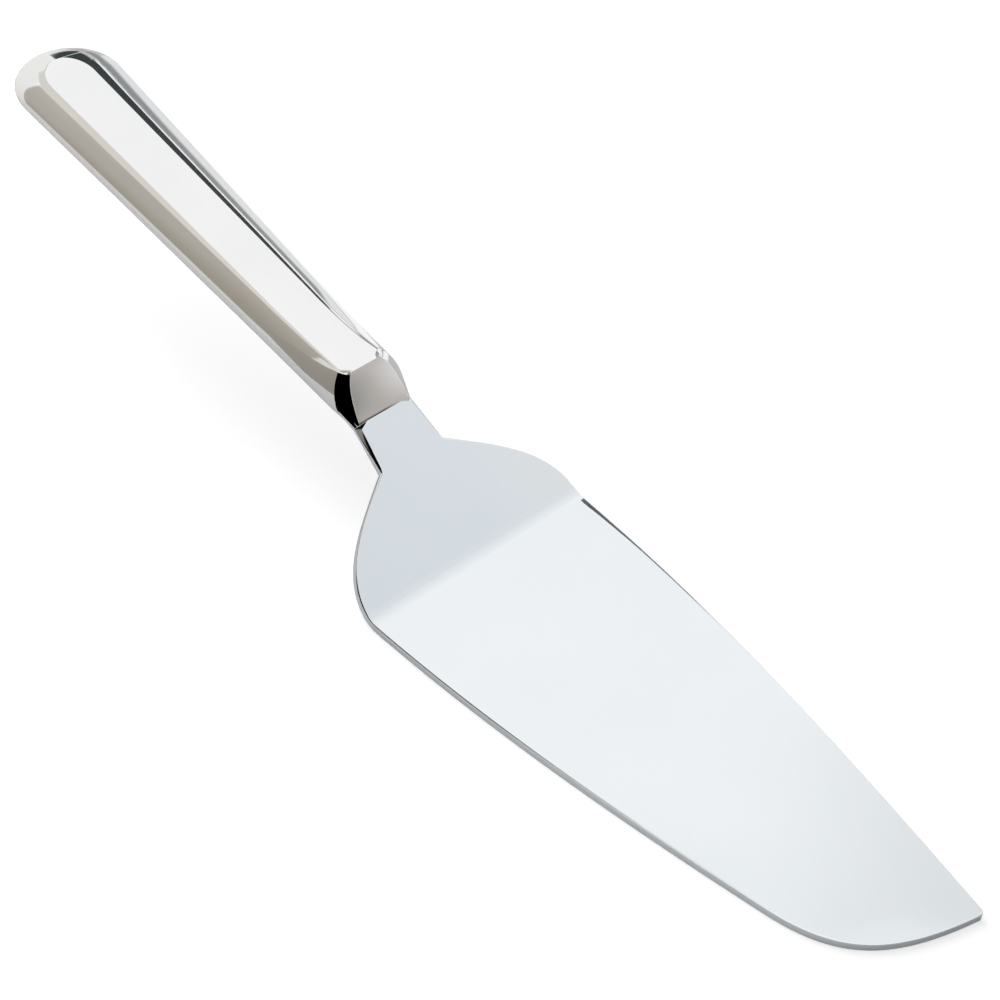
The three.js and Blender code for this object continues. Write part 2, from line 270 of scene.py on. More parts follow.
def last_row_face(rows, columns):
    return tuple(range((rows - 1) * columns, rows * columns))


# Outline of the flattened blade, one chain on each side, from the tip to the end of the tang
side_curve = [
    (0, BLADE_WIDTH / 2),
    (SIDE_LEAD, BLADE_WIDTH / 2 - SIDE_LEAD_DROP),
    (BLADE_LENGTH - SIDE_TAIL, TIP_OFFSET + SIDE_TAIL * SIDE_TAIL_SLOPE),
    (BLADE_LENGTH, TIP_OFFSET),
]
neck_corner = np.array([-SHOULDER_LENGTH, NECK_WIDTH / 2])
shoulder_curve = [
    (0, BLADE_WIDTH / 2),
    (-SHOULDER_LEAD, BLADE_WIDTH / 2),
    neck_corner + SHOULDER_DIAGONAL * heading(SHOULDER_HEADING),
    neck_corner,
]


def reach(curve, ahead):
    """Parameter at which a curve reaches a distance ahead of the crease."""
    direction = math.copysign(1, curve[-1][0] - curve[0][0])
    low, high = 0.0, 1.0
    for _ in range(SEARCH_ROUNDS):
        middle = (low + high) / 2
        if (ahead - bezier(curve, middle)[0][0]) * direction > 0:
            low = middle
        else:
            high = middle
    return high


def belly_curve():
    """Fuller left side of the tip, which leaves the straight side smoothly."""
    t = reach(side_curve, BLADE_LENGTH - BELLY_LENGTH)
    before, start, after = bezier(side_curve, [t - CURVE_STEP, t, t + CURVE_STEP])
    lead = start + unit(after - before) * BELLY_LEAD
    tip = np.array([BLADE_LENGTH, TIP_OFFSET])
    return [
        (start[0], -start[1]),
        (lead[0], -lead[1]),
        tip - TIP_LEAD * heading(TIP_HEADING),
        tip,
    ]


def dense(curve):
    return bezier(curve, np.linspace(0, 1, CURVE_POINTS))


def resample(points, spacing):
    """Points at the given arc lengths, as shares of the whole."""
    steps = np.linalg.norm(np.diff(points, axis=0), axis=1)
    run = np.concatenate([[0], np.cumsum(steps)])
    at = np.asarray(spacing) * run[-1]
    return np.stack([np.interp(at, run, points[:, k]) for k in range(2)], axis=1)


def rounded_tip(left, right, radius):
    """Cuts two chains that meet in a point and joins them by an arc; both start on the arc."""
    a, b = unit(left[1] - left[0]), unit(right[1] - right[0])
    half = math.acos(np.clip(a @ b, -1, 1)) / 2
    cut = radius / math.tan(half)
    middle = unit(a + b)
    centre = left[0] + middle * radius / math.sin(half)
    turn = np.linspace(0, math.pi / 2 - half, TIP_STEPS)[:, None]
    chains = []
    for chain, side in ((left, a), (right, b)):
        across = unit(side - middle * (side @ middle))
        arc = centre + radius * (-middle * np.cos(turn) + across * np.sin(turn))
        away = np.linalg.norm(chain - left[0], axis=1) > cut
        chains.append((arc, chain[away]))
    return chains


def back_stations():
    """Stations from the crease's start back to the tang's end, as ahead and half width."""
    rows = []
    for ahead in np.linspace(crease_bend / 2, 0, CREASE_STEPS)[:-1]:
        rows.append((ahead, bezier(side_curve, reach(side_curve, ahead))[0][1]))
    for ahead in np.linspace(0, -SHOULDER_LENGTH, SHOULDER_STEPS)[:-1]:
        t = 0 if ahead == 0 else reach(shoulder_curve, ahead)
        rows.append((ahead, bezier(shoulder_curve, t)[0][1]))
    for t in np.linspace(0, 1, NECK_STEPS):
        rows.append((-SHOULDER_LENGTH - NECK_LENGTH * t, lerp(NECK_WIDTH, NECK_END_WIDTH, t) / 2))
    half = TANG_WIDTH / 2
    rows.append((BLADE_LENGTH - neck_end, half))
    for distance in np.linspace(tang_bend_start, tang_start, TANG_BEND_STEPS):
        rows.append((BLADE_LENGTH - distance, half))
    for k in range(1, NOTCH_COUNT + 1):
        notch = tang_start + k * NOTCH_PITCH
        for step, depth in (
            (-NOTCH_LENGTH / 2 - NOTCH_DEPTH, 0), (-NOTCH_LENGTH / 2, NOTCH_DEPTH),
            (NOTCH_LENGTH / 2, NOTCH_DEPTH), (NOTCH_LENGTH / 2 + NOTCH_DEPTH, 0),
        ):
            rows.append((BLADE_LENGTH - notch - step, half - depth))
    rows.append((BLADE_LENGTH - tang_end, half))
    return np.array(rows)


def tang_count():
    """Stations that belong to the tang."""
    return int(np.sum(back_stations()[:, 0] < BLADE_LENGTH - neck_end - TINY)) + 1


def blade_chains():
    """Left and right chain of the outline, with as many points each."""
    belly = dense(belly_curve())[::-1]
    side = dense(side_curve)[::-1]
    flat_end = crease_bend / 2
    left = np.concatenate([belly, side[side[:, 0] < belly[-1][0]] * [1, -1]])
    left = left[left[:, 0] > flat_end]
    right = side[side[:, 0] > flat_end]
    spacing = np.linspace(0, 1, SIDE_STEPS)[1:]
    back = back_stations()
    chains = []
    for (arc, rest), sign in zip(rounded_tip(left, right, TIP_RADIUS), (-1, 1)):
        run = np.concatenate([arc[-1:], rest])
        chains.append(np.concatenate([arc, resample(run, spacing), back * [1, sign]]))
    return chains


def outward_normals(chain, point_before, side):
    """Normals of a chain, pointing away from the centre line: side is -1 left and 1 right."""
    before = np.concatenate([point_before[None], chain[:-1]])
    after = np.concatenate([chain[1:], chain[-1:]])
    d1, d2 = unit(chain - before), unit(after - chain)
    d2[-1] = d1[-1]
    tangent = unit(d1 + d2)
    scale = side / np.maximum(np.sum(tangent * d1, axis=1), LEAST_MITRE)
    return np.stack([tangent[:, 1], -tangent[:, 0]], axis=1) * scale[:, None]


def edge_profile(ahead, grind):
    """Upper edge of the sheet as distance in and height: rounded, on the neck chamfered, and
    behind a shallow grind where it has one."""
    opening = SHOULDER_LENGTH * CHAMFER_START
    along = (-ahead - opening) / (SHOULDER_LENGTH + NECK_LENGTH - opening)
    chamfer = min(max(along, 0), 1)
    size = lerp(EDGE_RADIUS, NECK_CHAMFER, chamfer)
    drop = lerp(EDGE_RADIUS, NECK_CHAMFER_DROP, chamfer)
    places, widths, falls = zip(*grind)
    width = np.interp(ahead, places, widths)
    slope = math.tan(math.radians(np.interp(ahead, places, falls)))
    soft = min(EDGE_SOFTNESS, width * GRIND_SOFT_SHARE)
    points = [(size + width + EDGE_SOFTNESS, SHEET / 2)]
    for d in (width, width - soft, soft):
        points.append((size + d, SHEET / 2 - (width - d) * slope))
    top = SHEET / 2 - width * slope
    for share in np.linspace(0, 1, EDGE_STEPS + 1):
        turn = math.pi / 2 * (1 - share)
        d = lerp(1 - math.cos(turn), 1 - share, chamfer)
        h = lerp(1 - math.sin(turn), share, chamfer)
        points.append((size * d, top - drop * h))
    return points


def build_blade():
    left, right = blade_chains()
    left_normal = outward_normals(left, right[1], -1)
    right_normal = outward_normals(right, left[1], 1)
    left_normal[0] = right_normal[0] = unit(left_normal[1] + right_normal[1])
    columns = np.linspace(0, 1, BLADE_COLUMNS)[1:-1, None]
    last_rounded = len(left) - tang_count()
    under_edge = [(d, -h) for d, h in reversed(edge_profile(BLADE_LENGTH, NO_GRIND))]
    square_edge = [(0, SHEET / 2)] * len(under_edge) + [(0, -SHEET / 2)] * len(under_edge)

    points = []
    for k in range(len(left)):
        rings = []
        for chain, normal, grind in (
            (left, left_normal, NO_GRIND), (right, right_normal, EDGE_GRIND),
        ):
            rounded = k < last_rounded
            profile = edge_profile(chain[k][0], grind) + under_edge if rounded else square_edge
            rings.append(np.array([(*(chain[k] - normal[k] * d), h) for d, h in profile]))
        ring_left, ring_right = rings[0], rings[1][::-1]
        under = lerp(ring_left[-1], ring_right[0], columns)
        over = lerp(ring_right[-1], ring_left[0], columns)
        points.append(np.concatenate([ring_left, under, ring_right, over]))
    rows, width = len(points), len(points[0])
    faces = [*grid_faces(rows, width, wrap=True), last_row_face(rows, width)]
    return solid("blade_sheet", on_sheet(np.concatenate(points)), faces)


# Handle
def still(distance, end, stretch):
    """Share of a stretch before an end that is still to come."""
    return min(max((end - distance) / stretch, 0), 1)


def round_off(distance, end, stretch):
    return math.sqrt(1 - (1 - still(distance, end, stretch)) ** 2)


def handle_section(behind, inset):
    """Half width, crown, keel, half facet and bevel at a distance behind the brow."""
    along = behind / HANDLE_LENGTH
    lift = max(0, 1 - behind / FRONT_LENGTH) ** 2
    tuck = MOUTH_TUCK * (1 - round_off(-behind, 0, MOUTH_TUCK_LENGTH))
    full = lerp(HALF_WIDTH_FRONT, HALF_WIDTH_BUTT, along) - tuck
    facet = lerp(FACET_FRONT, FACET_BUTT, along) + FACET_FLARE * lift
    flat_end = (1 - inset / full) * round_off(behind, HANDLE_LENGTH - BUTT_BEVEL, FACET_ROUND)
    half = (full - inset) * round_off(behind, HANDLE_LENGTH, BUTT_ROUND)
    crown = lerp(CROWN_FRONT, CROWN_BUTT, along) + CROWN_LIFT * lift - inset
    crown *= math.sqrt(still(behind, HANDLE_LENGTH, BUTT_BEVEL))
    keel = lerp(KEEL_FRONT, KEEL_BUTT, along) - inset
    keel *= round_off(behind, HANDLE_LENGTH, BUTT_BEVEL)
    return half, crown, keel, facet * flat_end, lerp(BEVEL_FRONT, BEVEL_BUTT, along) * flat_end


def edge_strip(at, height, slope_in, slope_out, soft):
    """Points across a soft edge: slopes are falls per millimetre on its two sides."""
    reach_in, reach_out = STRIP[::-1] * soft, STRIP * soft
    across = np.concatenate([at - reach_in, [at], at + reach_out])
    dip = (slope_out - slope_in) * soft / 4
    up = np.concatenate([
        height + reach_in * slope_in, [height - dip], height - reach_out * slope_out,
    ])
    return np.stack([across, up], axis=1)


def between(count):
    """Even places from -1 to 1, without the two ends."""
    return np.linspace(-1, 1, count + 2)[1:-1]


def section_profile(half, height, facet, bevel):
    """Half a section over the top: rounded flank, bevel, flat facet, and the same mirrored."""
    slope = math.tan(math.radians(BEVEL_ANGLE))
    edge, shoulder = facet + bevel, height - bevel * slope
    soft = min(EDGE_SOFTNESS, bevel / STRIP_ROOM, facet / STRIP_ROOM)
    strip_end = STRIP[-1] * soft
    room = max(half - edge, TINY)
    flank_slope = shoulder / room * (1 - FLANK_ROUNDNESS) / 2
    start = math.asin(min(strip_end / room, 1))
    out = np.sin(np.linspace(math.pi / 2, start, FLANK_STEPS))[:-1]
    up = shoulder * np.sqrt((1 - out) * (1 + FLANK_ROUNDNESS * out))
    flank = np.stack([lerp(edge, half, out), up], axis=1)
    outer_edge = edge_strip(edge, shoulder, slope, flank_slope, soft)[::-1]
    inner_edge = edge_strip(facet, height, 0, slope, soft)[::-1]
    share = np.linspace(0, 1, BEVEL_STEPS + 2)[1:-1, None]
    bevel_face = lerp(outer_edge[-1], inner_edge[0], share)
    side = np.concatenate([flank, outer_edge, bevel_face, inner_edge]) * [-1, 1]
    flat = between(FACET_STEPS) * (facet - strip_end)
    flat = np.stack([flat, np.full(FACET_STEPS, height)], axis=1)
    return np.concatenate([side, flat, side[::-1] * [-1, 1]])


def handle_row(behind, inset, side):
    """Row of points over the top (side 1) or under the keel (side -1), in the handle's frame."""
    half, crown, keel, facet, bevel = handle_section(behind, inset)
    profile = section_profile(half, crown if side > 0 else keel, facet, bevel)
    rake = math.tan(math.radians(MOUTH_RAKE)) * max(0, 1 - behind / FRONT_LENGTH)
    shortened = behind * (HANDLE_LENGTH - inset) / HANDLE_LENGTH
    z = side * profile[:, 1]
    x = brow_x - shortened + rake * (brow_z - z)
    return np.stack([x, profile[:, 0], z], axis=1)


def handle_stations():
    flat_end = HANDLE_LENGTH - BUTT_BEVEL
    turn = np.linspace(0, math.pi / 2, BUTT_STEPS)
    front = np.linspace(BOLSTER_LAND, FRONT_LENGTH, FRONT_STEPS)
    body = np.linspace(FRONT_LENGTH, flat_end - FACET_ROUND, BODY_STEPS)
    facet_end = flat_end - FACET_ROUND * (1 - np.sin(turn))
    butt = HANDLE_LENGTH - BUTT_BEVEL * (1 - np.sin(turn))
    soft = flat_end + np.concatenate([-STRIP[::-1], STRIP]) * EDGE_SOFTNESS
    stations = np.concatenate([front, body, facet_end, soft, butt])
    return np.unique(np.round(stations, STATION_DIGITS))


def build_shell(name, side):
    stations = handle_stations()
    outer = [handle_row(b, 0, side) for b in stations]
    inner = [handle_row(b, WALL, side) for b in stations]
    rows, width = len(outer), len(outer[0])
    points = np.concatenate([np.concatenate([o, i[::-1]]) for o, i in zip(outer, inner)])
    faces = grid_faces(rows, 2 * width, wrap=True)
    faces += [(j, j + 1, 2 * width - 2 - j, 2 * width - 1 - j) for j in range(width - 1)]
    return solid(name, from_handle(points), faces)


# Bolster
def face_outline(mouth):
    """Arched edge of the bolster's front face, its points spaced like the handle's mouth."""
    side = mouth[:(len(mouth) - FACET_STEPS) // 2]
    run = np.cumsum(np.linalg.norm(np.diff(side, axis=0, prepend=side[:1]), axis=1))
    arch = bezier([
        (1, NECK_END_WIDTH / 2 - NECK_CHAMFER),
        (FACE_SWELL_DROP, FACE_SWELL_WIDTH / 2),
        (0, FACE_TOP_WIDTH / 2),
    ], run / run[-1])
    top = between(FACET_STEPS) * FACE_TOP_WIDTH / 2
    down = np.concatenate([arch[:, 0], np.zeros(FACET_STEPS), arch[::-1, 0]])
    across = np.concatenate([-arch[:, 1], top, arch[::-1, 1]])
    return lerp(brow, foot, down[:, None]) + across[:, None] * [0, 1, 0]


def down_face(points):
    """Share of the way from the brow to the foot of the bolster's face."""
    slant = foot - brow
    return np.clip((points - brow) @ slant / (slant @ slant), 0, 1)


def domed(ring, face):
    """Lifts a ring of the bolster's face, so that the face bulges a little in its middle."""
    slant = unit(foot - brow)
    outward = np.array([-slant[2], 0, slant[0]])
    arch = face[len(face) // 2:]
    down = down_face(ring)
    half = np.interp(down, down_face(arch), arch[:, 1])
    rise = 4 * down * (1 - down) * np.clip(1 - (ring[:, 1] / half) ** 2, 0, 1)
    return ring + outward * FACE_DOME * rise[:, None]


def face_rings(rim, face, centre):
    """Rings of the domed face from its centre to the soft strip inside a rim."""
    inner = [lerp(centre, rim, share) for share in np.linspace(0, 1, FACE_RINGS)[:-1]]
    strip = rim + unit(centre - rim) * EDGE_SOFTNESS
    return [domed(ring, face) for ring in (*inner, strip)]


def build_bolster():
    mouth_up = handle_row(BOLSTER_LAND, 0, 1)
    mouth_down = handle_row(BOLSTER_LAND, 0, -1)
    crest = handle_row(0, 0, 1)
    face = face_outline(mouth_up)
    centre = face.mean(axis=0) * [1, 0, 1]
    flat_half = NECK_END_WIDTH / 2 - NECK_CHAMFER
    across = mouth_down[:, 1] * NECK_END_WIDTH / 2 / mouth_down[-1][1]
    beyond = np.maximum(np.abs(across) - flat_half, 0) / NECK_CHAMFER
    chamfered = beyond * NECK_CHAMFER_DROP / SHEET
    heeled = np.where(beyond < 1 - TINY, 1, chamfered)
    sole, heel_line = (
        lerp(foot, heel, down[:, None]) + across[:, None] * [0, 1, 0] for down in (chamfered, heeled)
    )
    foot_line = foot + np.clip(across, -flat_half, flat_half)[:, None] * [0, 1, 0]

    upper = [*face_rings(face, face, centre), face, face]
    lower = [*face_rings(foot_line, face, centre), sole, heel_line]
    for share in np.linspace(0, 1, BOLSTER_STEPS)[1:]:
        bow = handle_row(BOLSTER_LAND * share, 0, 1) - lerp(crest, mouth_up, share)
        upper.append(lerp(face, mouth_up, share) + bow)
        lower.append(lerp(heel_line, mouth_down, share))
    for behind in (BOLSTER_LAND, BOLSTER_LAND + SPIGOT_LENGTH):
        upper.append(handle_row(behind, WALL + SPIGOT_CLEARANCE, 1))
        lower.append(handle_row(behind, WALL + SPIGOT_CLEARANCE, -1))
    points = np.concatenate([np.concatenate([u, l[::-1]]) for u, l in zip(upper, lower)])
    rows, width = len(upper), 2 * len(face)
    faces = [*grid_faces(rows, width, wrap=True), last_row_face(rows, width)]
    return solid("bolster_cap", from_handle(points), faces)


blade = build_blade()
upper_shell = build_shell("handle_top_half", 1)
lower_shell = build_shell("handle_bottom_half", -1)
bolster = build_bolster()

for obj, node, slot in (
    (blade, "blade", "blade_steel"),
    (bolster, "bolster", "handle_steel"),
    (upper_shell, "handle_upper_shell", "handle_steel"),
    (lower_shell, "handle_lower_shell", "handle_steel"),
):
    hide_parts(node)
    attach(obj, "root")


# Materials
BLADE_POLISH = {
    "dark": (0.838, 0.872, 0.898), "light": (0.852, 0.885, 0.909), "roughness": (0.07, 0.11),
    "grain": (0.05, 1, 1), "grain_scale": 2600, "relief": 0.04,
}
HANDLE_POLISH = {
    "dark": (0.86, 0.865, 0.865), "light": (0.90, 0.90, 0.895), "roughness": (0.035, 0.075),
    "grain": (1, 1, 1), "grain_scale": 900, "relief": 0.02,
}
TONE_SCALE, TONE_LOW, TONE_HIGH = 38, 0.35, 0.65
STEEL_DETAIL = 4
RELIEF_DEPTH = 0.02 * MM
# Values between which most of the noise lies
NOISE_LOW, NOISE_HIGH = 0.3, 0.7
CEMENT_DARK, CEMENT_LIGHT, CEMENT_ROUGHNESS = (0.36, 0.33, 0.27), (0.55, 0.52, 0.45), (0.75, 0.95)
GRIT_SCALE, GRIT_DETAIL = 1500, 6


def new_material(name):
    material = bpy.data.materials.new(name)
    material.use_nodes = True
    nodes, links = material.node_tree.nodes, material.node_tree.links
    return material, nodes, links, nodes["Principled BSDF"]


def empty_material(name):
    material, nodes, links, _ = new_material(name)
    nodes.clear()
    return material, nodes, links


def noise(nodes, links, vector, scale, detail, stretch=(1, 1, 1)):
    mapping = nodes.new("ShaderNodeMapping")
    mapping.inputs["Scale"].default_value = stretch
    texture = nodes.new("ShaderNodeTexNoise")
    texture.inputs["Scale"].default_value = scale
    texture.inputs["Detail"].default_value = detail
    links.new(vector, mapping.inputs["Vector"])
    links.new(mapping.outputs["Vector"], texture.inputs["Vector"])
    return texture.outputs["Fac"]


def remap(nodes, links, value, spread):
    """Noise spread between a low and a high value."""
    node = nodes.new("ShaderNodeMapRange")
    node.inputs["From Min"].default_value = NOISE_LOW
    node.inputs["From Max"].default_value = NOISE_HIGH
    node.inputs["To Min"].default_value = spread[0]
    node.inputs["To Max"].default_value = spread[1]
    links.new(value, node.inputs["Value"])
    return node.outputs["Result"]


def ramp(nodes, links, value, stops):
    node = nodes.new("ShaderNodeValToRGB")
    elements = node.color_ramp.elements
    while len(elements) < len(stops):
        elements.new(1)
    for element, (position, colour) in zip(elements, stops):
        element.position = position
        element.color = (*colour, 1)
    links.new(value, node.inputs["Fac"])
    return node.outputs["Color"]


def product(nodes, links, a, b):
    node = nodes.new("ShaderNodeMath")
    node.operation = "MULTIPLY"
    links.new(a, node.inputs[0])
    links.new(b, node.inputs[1])
    return node.outputs[0]


def soft_window(nodes, links, value, soft):
    """1 between 0 and 1, with a soft start and a soft end."""
    sides = []
    for start, end in ((0, soft[0]), (1, 1 - soft[1])):
        side = nodes.new("ShaderNodeMapRange")
        side.interpolation_type = "SMOOTHSTEP"
        side.inputs["From Min"].default_value = start
        side.inputs["From Max"].default_value = end
        links.new(value, side.inputs["Value"])
        sides.append(side.outputs[0])
    return product(nodes, links, *sides)


def soft_band(nodes, links, place, direction, low, high, soft):
    """Soft band between two distances, in millimetres, along a direction."""
    along = nodes.new("ShaderNodeVectorMath")
    along.operation = "DOT_PRODUCT"
    along.inputs[1].default_value = direction
    links.new(place, along.inputs[0])
    share = nodes.new("ShaderNodeMapRange")
    share.inputs["From Min"].default_value = low * MM
    share.inputs["From Max"].default_value = high * MM
    links.new(along.outputs["Value"], share.inputs["Value"])
    return soft_window(nodes, links, share.outputs[0], soft)


def steel(name, dark, light, roughness, grain, grain_scale, relief):
    """Polished steel with a slow change of tone and a fine grain."""
    material, nodes, links, shader = new_material(name)
    place = nodes.new("ShaderNodeTexCoord").outputs["Object"]
    tone = noise(nodes, links, place, TONE_SCALE, STEEL_DETAIL)
    fine = noise(nodes, links, place, grain_scale, STEEL_DETAIL, grain)
    shader.inputs["Metallic"].default_value = 1
    shades = ramp(nodes, links, tone, [(TONE_LOW, dark), (TONE_HIGH, light)])
    links.new(shades, shader.inputs["Base Color"])
    links.new(remap(nodes, links, fine, roughness), shader.inputs["Roughness"])
    bump = nodes.new("ShaderNodeBump")
    bump.inputs["Strength"].default_value = relief
    bump.inputs["Distance"].default_value = RELIEF_DEPTH
    links.new(fine, bump.inputs["Height"])
    links.new(bump.outputs["Normal"], shader.inputs["Normal"])
    return material


# Painted shade along the seam between the neck and the foot of the bolster's face, fading out
# towards the right, in millimetres
FOOT_SHADE_ABOVE, FOOT_SHADE_BELOW, FOOT_SHADE_LEFT, FOOT_SHADE_RIGHT = 0.6, 0.2, -6.7, 4.4
FOOT_SHADE_SOFT_HEIGHT, FOOT_SHADE_SOFT_LENGTH = (0.7, 0.2), (0.06, 0.4)
FOOT_SHADE_COLOUR = (0.09, 0.085, 0.08)


# Paints shade into the bolster's colour as a dark band along the foot of its face, which fades out
# towards the right
def add_painted_foot_shade(material):
    nodes, links = material.node_tree.nodes, material.node_tree.links
    base = nodes["Principled BSDF"].inputs["Base Color"]
    place = nodes.new("ShaderNodeTexCoord").outputs["Object"]
    row_brow, row_foot = from_handle(np.array([brow, foot])) + [row_shift, 0, 0]
    fall = unit(row_foot - row_brow)
    level = row_foot @ fall
    height = soft_band(nodes, links, place, fall, level - FOOT_SHADE_ABOVE, level + FOOT_SHADE_BELOW,
                       FOOT_SHADE_SOFT_HEIGHT)
    length = soft_band(nodes, links, place, (0, 1, 0), FOOT_SHADE_LEFT, FOOT_SHADE_RIGHT, FOOT_SHADE_SOFT_LENGTH)
    tint = nodes.new("ShaderNodeMixRGB")
    tint.inputs["Color2"].default_value = (*FOOT_SHADE_COLOUR, 1)
    links.new(product(nodes, links, height, length), tint.inputs["Fac"])
    links.new(base.links[0].from_socket, tint.inputs["Color1"])
    links.new(tint.outputs["Color"], base)


def cement():
    material, nodes, links, shader = new_material("cement")
    place = nodes.new("ShaderNodeTexCoord").outputs["Object"]
    grit = noise(nodes, links, place, GRIT_SCALE, GRIT_DETAIL)
    shades = ramp(nodes, links, grit, [(NOISE_LOW, CEMENT_DARK), (NOISE_HIGH, CEMENT_LIGHT)])
    links.new(shades, shader.inputs["Base Color"])
    links.new(remap(nodes, links, grit, CEMENT_ROUGHNESS), shader.inputs["Roughness"])
    return material


handle_steel = steel("handle_steel", **HANDLE_POLISH)
# A copy of the handle's steel, with painted shade at the foot of the bolster's face
bolster_steel_shaded = steel("bolster_steel_shaded", **HANDLE_POLISH)
add_painted_foot_shade(bolster_steel_shaded)
blade.data.materials.append(steel("blade_steel", **BLADE_POLISH))
bolster.data.materials.append(bolster_steel_shaded)
upper_shell.data.materials.append(handle_steel)
lower_shell.data.materials.append(handle_steel)
cement_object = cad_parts["handle_cement"]
cement_object.data.materials.clear()
cement_object.data.materials.append(cement())

# Floor, in metres: pale, keeps the shadow, white to the camera and paler in reflections
FLOOR_HALF = 4
FLOOR_SHADE = 0.6
FLOOR_GLOW = {"Is Camera Ray": 0.6, "Is Glossy Ray": 0.04, "Is Transmission Ray": 0.04}
WHITE, BLACK = (1.0, 1.0, 1.0), (0.0, 0.0, 0.0)


def weighted_rays(nodes, links, weights):
    """Sum of outputs of Light Path, each times its weight."""
    path = nodes.new("ShaderNodeLightPath")
    total = None
    for name, weight in weights.items():
        node = nodes.new("ShaderNodeMath")
        node.operation = "MULTIPLY_ADD"
        node.inputs[1].default_value = weight
        node.inputs[2].default_value = 0
        links.new(path.outputs[name], node.inputs[0])
        if total is not None:
            links.new(total, node.inputs[2])
        total = node.outputs[0]
    return total


def floor_paint():
    material, nodes, links = empty_material("floor_paint")
    diffuse = nodes.new("ShaderNodeBsdfDiffuse")
    diffuse.inputs["Color"].default_value = (FLOOR_SHADE, FLOOR_SHADE, FLOOR_SHADE, 1)
    glow = nodes.new("ShaderNodeEmission")
    glow.inputs["Color"].default_value = (*WHITE, 1)
    links.new(weighted_rays(nodes, links, FLOOR_GLOW), glow.inputs["Strength"])
    both = nodes.new("ShaderNodeAddShader")
    links.new(diffuse.outputs[0], both.inputs[0])
    links.new(glow.outputs[0], both.inputs[1])
    links.new(both.outputs[0], nodes.new("ShaderNodeOutputMaterial").inputs["Surface"])
    return material


corners = [(x * FLOOR_HALF, y * FLOOR_HALF, 0) for x, y in ((-1, -1), (1, -1), (1, 1), (-1, 1))]
floor = make_object("floor", corners, [(0, 1, 2, 3)])
floor.data.materials.append(floor_paint())

# World: white in reflections, a fill for the floor
FILL = 0.3
world = bpy.data.worlds.new("studio")
bpy.context.scene.world = world
world.use_nodes = True
nodes, links = world.node_tree.nodes, world.node_tree.links
background = nodes["Background"]
background.inputs["Color"].default_value = (*WHITE, 1)
fill = nodes.new("ShaderNodeMapRange")
fill.inputs["To Min"].default_value = 1
fill.inputs["To Max"].default_value = FILL
links.new(nodes.new("ShaderNodeLightPath").outputs["Is Diffuse Ray"], fill.inputs["Value"])
links.new(fill.outputs[0], background.inputs["Strength"])


def dome(distance, centre=(0, 0, 0)):
    """Places an azimuth and an elevation, in degrees, on a dome round a point."""
    def place(azimuth, elevation):
        a, e = math.radians(azimuth), math.radians(elevation)
        return (
            centre[0] + distance * math.cos(e) * math.cos(a),
            centre[1] + distance * math.cos(e) * math.sin(a),
            centre[2] + distance * math.sin(e),
        )
    return place


# Soft lamp behind the object, which brings the floor up to the level of the world
LAMP_AZIMUTH, LAMP_ELEVATION, LAMP_DISTANCE, LAMP_SIZE = 178.0, 52.0, 1.2, 1.2
lamp_data = bpy.data.lights.new("softbox", "AREA")
lamp_data.size = LAMP_SIZE
lamp_data.energy = ((1 - FILL) * math.pi ** 2 * LAMP_DISTANCE ** 2
                    / math.sin(math.radians(LAMP_ELEVATION)))
lamp = bpy.data.objects.new("softbox", lamp_data)
bpy.context.scene.collection.objects.link(lamp)
lamp.location = dome(LAMP_DISTANCE)(LAMP_AZIMUTH, LAMP_ELEVATION)
lamp.rotation_mode = "QUATERNION"
lamp.rotation_quaternion = lamp.location.to_track_quat("Z", "Y")
lamp.visible_glossy = False

# Panels of the studio, which only the polished steel sees: domes in metres, cards in millimetres
CARD_HEIGHT, CARD_ASIDE = 0.4, 45.0
FLAG, FLAG_DEEP, GREY = (0.05, 0.06, 0.057), (0.045, 0.055, 0.055), (0.30, 0.305, 0.31)
COOL, COOL_LIGHT = (0.735, 0.76, 0.785), (0.80, 0.82, 0.84)
bolster_place = to_row(from_handle(brow[None]))[0]
tip_place = to_row(on_sheet(np.array([[BLADE_LENGTH, TIP_OFFSET, SHEET / 2]])))[0]
butt_place = to_row(from_handle(np.array([[brow_x - HANDLE_LENGTH, 0, 0]])))[0]
NEAR, NEAR_GREY, NEAR_RING, MIDDLE, FAR = (dome(radius) for radius in (3.0, 3.1, 3.15, 3.2, 3.4))
BY_BUTT, BY_TIP, BY_BOLSTER = dome(0.2, butt_place), dome(0.2, tip_place), dome(0.085, bolster_place)


def on_floor(x, y):
    return x * MM, y * MM, CARD_HEIGHT * MM


def beside_neck(x, z):
    return x * MM, -CARD_ASIDE * MM, z * MM


def panel_paint(name, colours, soft_sides, soft_ends):
    material, nodes, links = empty_material(name)
    split = nodes.new("ShaderNodeSeparateXYZ")
    links.new(nodes.new("ShaderNodeUVMap").outputs["UV"], split.inputs[0])
    sides = soft_window(nodes, links, split.outputs["X"], soft_sides)
    ends = soft_window(nodes, links, split.outputs["Y"], soft_ends)
    stops = [(k / (len(colours) - 1), colour) for k, colour in enumerate(colours)]
    glow = nodes.new("ShaderNodeEmission")
    links.new(ramp(nodes, links, split.outputs["X"], stops), glow.inputs["Color"])
    mix = nodes.new("ShaderNodeMixShader")
    links.new(product(nodes, links, sides, ends), mix.inputs["Fac"])
    links.new(nodes.new("ShaderNodeBsdfTransparent").outputs[0], mix.inputs[1])
    links.new(glow.outputs[0], mix.inputs[2])
    links.new(mix.outputs[0], nodes.new("ShaderNodeOutputMaterial").inputs["Surface"])
    return material


